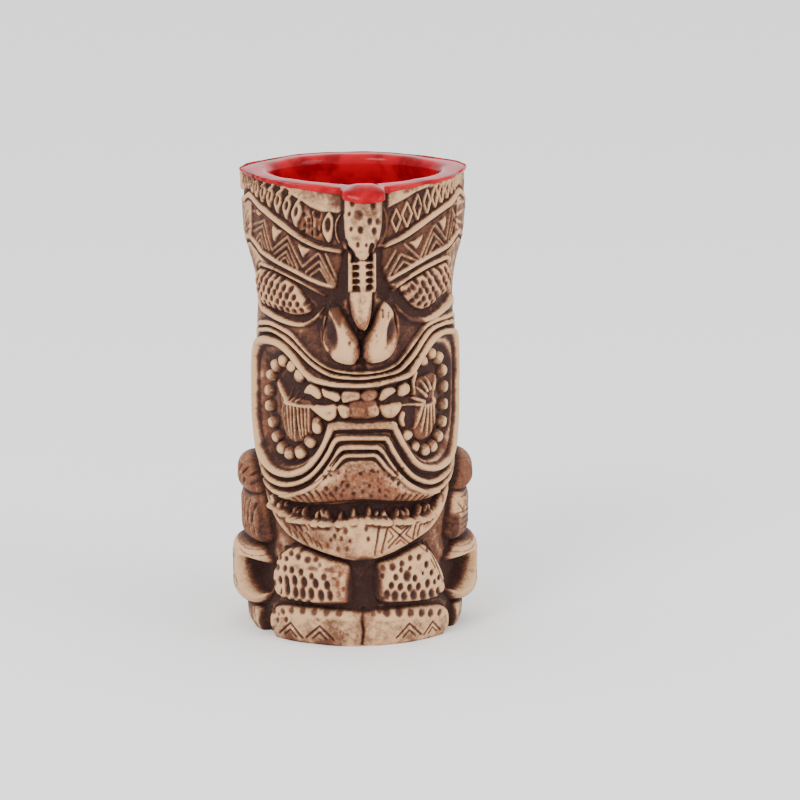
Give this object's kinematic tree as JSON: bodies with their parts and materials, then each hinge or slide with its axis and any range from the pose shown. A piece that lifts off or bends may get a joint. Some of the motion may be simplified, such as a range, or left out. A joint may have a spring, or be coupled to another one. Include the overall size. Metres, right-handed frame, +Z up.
{
  "type": "tiki mug",
  "caption": "Tall ceramic drinking mug modelled as a squat carved figure: crested brow, wide toothed mouth, arms on the hips, knees and feet, with a glossy red glazed inside.",
  "frame": {"origin": "Middle of the flat underside of the foot, on the cup's upright axis.", "axes": "+Z up through the open mouth; the face looks toward -Y; +X is the viewer's right when looking at the face."},
  "size_m": [0.0878, 0.0817, 0.165],
  "materials": {
    "bone_clay": "bone coloured ceramic with dark brown stain in the carving, satin clear glaze",
    "brown_stained_clay": "bone coloured ceramic with a heavier red-brown stain, satin clear glaze",
    "red_glaze": "thick glossy red glaze, inside and over the lip"
  },
  "bodies": {
    "root": {"cup_wall": "bone_clay", "glaze_lining": "red_glaze", "brow_cord_left": "bone_clay", "brow_cord_right": "bone_clay", "brow_zigzag_left": "bone_clay", "brow_zigzag_right": "bone_clay", "brow_rail_left": "bone_clay", "brow_rail_right": "bone_clay", "brow_lozenges_left": "bone_clay", "brow_lozenges_right": "bone_clay", "crest": "bone_clay", "glaze_cap": "red_glaze", "ladder": "bone_clay", "eye_left": "brown_stained_clay", "eye_right": "brown_stained_clay", "eyelid_left": "bone_clay", "eyelid_right": "bone_clay", "cheek_left": "bone_clay", "cheek_right": "bone_clay", "nose_bridge": "bone_clay", "nose_lobe_left": "bone_clay", "nose_lobe_right": "bone_clay", "lip_inner": "bone_clay", "lip_middle": "bone_clay", "lip_outer_upper": "bone_clay", "lip_outer_lower": "bone_clay", "teeth_upper": "bone_clay", "teeth_lower": "bone_clay", "teeth_ring_left": "bone_clay", "teeth_ring_right": "bone_clay", "throat_left": "brown_stained_clay", "throat_right": "brown_stained_clay", "muzzle": "brown_stained_clay", "jaw": "bone_clay", "jaw_teeth": "bone_clay", "upper_arm_left": "brown_stained_clay", "upper_arm_right": "brown_stained_clay", "hand_left": "bone_clay", "hand_right": "bone_clay", "knee_left": "bone_clay", "knee_right": "bone_clay", "foot_left": "bone_clay", "foot_right": "bone_clay", "heel_left": "bone_clay", "heel_right": "bone_clay"}
  },
  "joints": []
}
